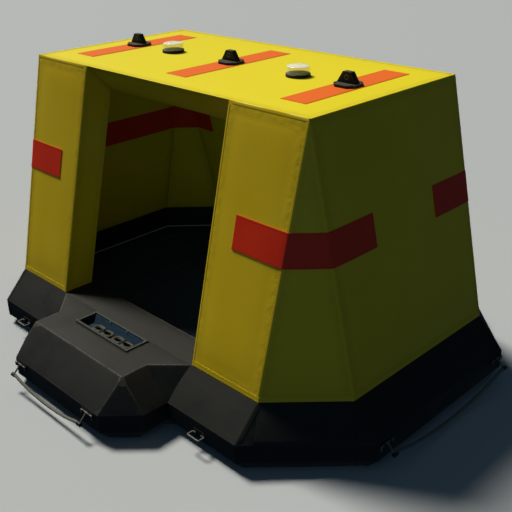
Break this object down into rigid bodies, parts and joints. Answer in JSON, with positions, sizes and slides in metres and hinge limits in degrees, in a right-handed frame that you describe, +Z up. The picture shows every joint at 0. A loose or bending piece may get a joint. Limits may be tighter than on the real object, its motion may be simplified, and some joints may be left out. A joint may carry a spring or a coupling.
{
  "type": "inflatable rescue raft",
  "caption": "Canopied inflatable rescue raft with a bevelled buoyancy ring, thick inflated walls, an open doorway, a boarding platform, roof lights, lifting lugs and grab ropes.",
  "frame": {"origin": "ground level, under the middle of the overall box without the grab ropes", "axes": "+X along the raft to the right of someone facing the doorway from outside, +Y away from the doorway towards the back wall, +Z up"},
  "size_m": [5.068, 4.001, 2.8736],
  "materials": {
    "hull_rubber": "rubber-coated fabric, dull with worn edges",
    "floor_rubber": "dull, finely ribbed",
    "canopy_fabric": "coated woven fabric, satin",
    "stripe_orange": "coated woven tape, satin",
    "band_red": "coated woven tape, satin",
    "moulded_black": "moulded, finely grained",
    "tray_frame": "moulded, dull",
    "tray_liner": "coated fabric, dull",
    "line": "braided rope",
    "metal": "weathered",
    "lens": "clear, moulded"
  },
  "bodies": {
    "root": {"tube_front": "hull_rubber", "tube_back": "hull_rubber", "tube_left": "hull_rubber", "tube_right": "hull_rubber", "tube_front_left": "hull_rubber", "tube_front_right": "hull_rubber", "tube_back_left": "hull_rubber", "tube_back_right": "hull_rubber", "floor": "floor_rubber", "bottom_sheet": "floor_rubber", "boarding_platform": "hull_rubber", "tray": "tray_liner", "tray_frame": "tray_frame", "hank_left": "line", "hank_right": "line", "roof": "canopy_fabric", "wall_left": "canopy_fabric", "wall_right": "canopy_fabric", "wall_back": "canopy_fabric", "wall_front_left": "canopy_fabric", "wall_front_right": "canopy_fabric", "gusset_front_left": "canopy_fabric", "gusset_front_right": "canopy_fabric", "gusset_back_left": "canopy_fabric", "gusset_back_right": "canopy_fabric", "roof_stripe_left": "stripe_orange", "roof_stripe_centre": "stripe_orange", "roof_stripe_right": "stripe_orange", "band_front_left": "band_red", "band_front_right": "band_red", "band_back_left": "band_red", "band_back_right": "band_red", "inner_band_left": "band_red", "inner_band_right": "band_red", "lug_left": "moulded_black", "lug_centre": "moulded_black", "lug_right": "moulded_black", "light_base_left": "moulded_black", "light_base_right": "moulded_black", "light_lens_left": "lens", "light_lens_right": "lens", "bracket_front_left": "metal", "bracket_front_right": "metal", "bracket_back_left": "metal", "bracket_back_right": "metal", "hanger_front_a": "metal", "hanger_front_b": "metal", "hanger_right_a": "metal", "hanger_right_b": "metal", "hanger_back_a": "metal", "hanger_back_b": "metal", "hanger_left_a": "metal", "hanger_left_b": "metal", "rope_front": "line", "rope_right": "line", "rope_back": "line", "rope_left": "line"}
  },
  "joints": []
}
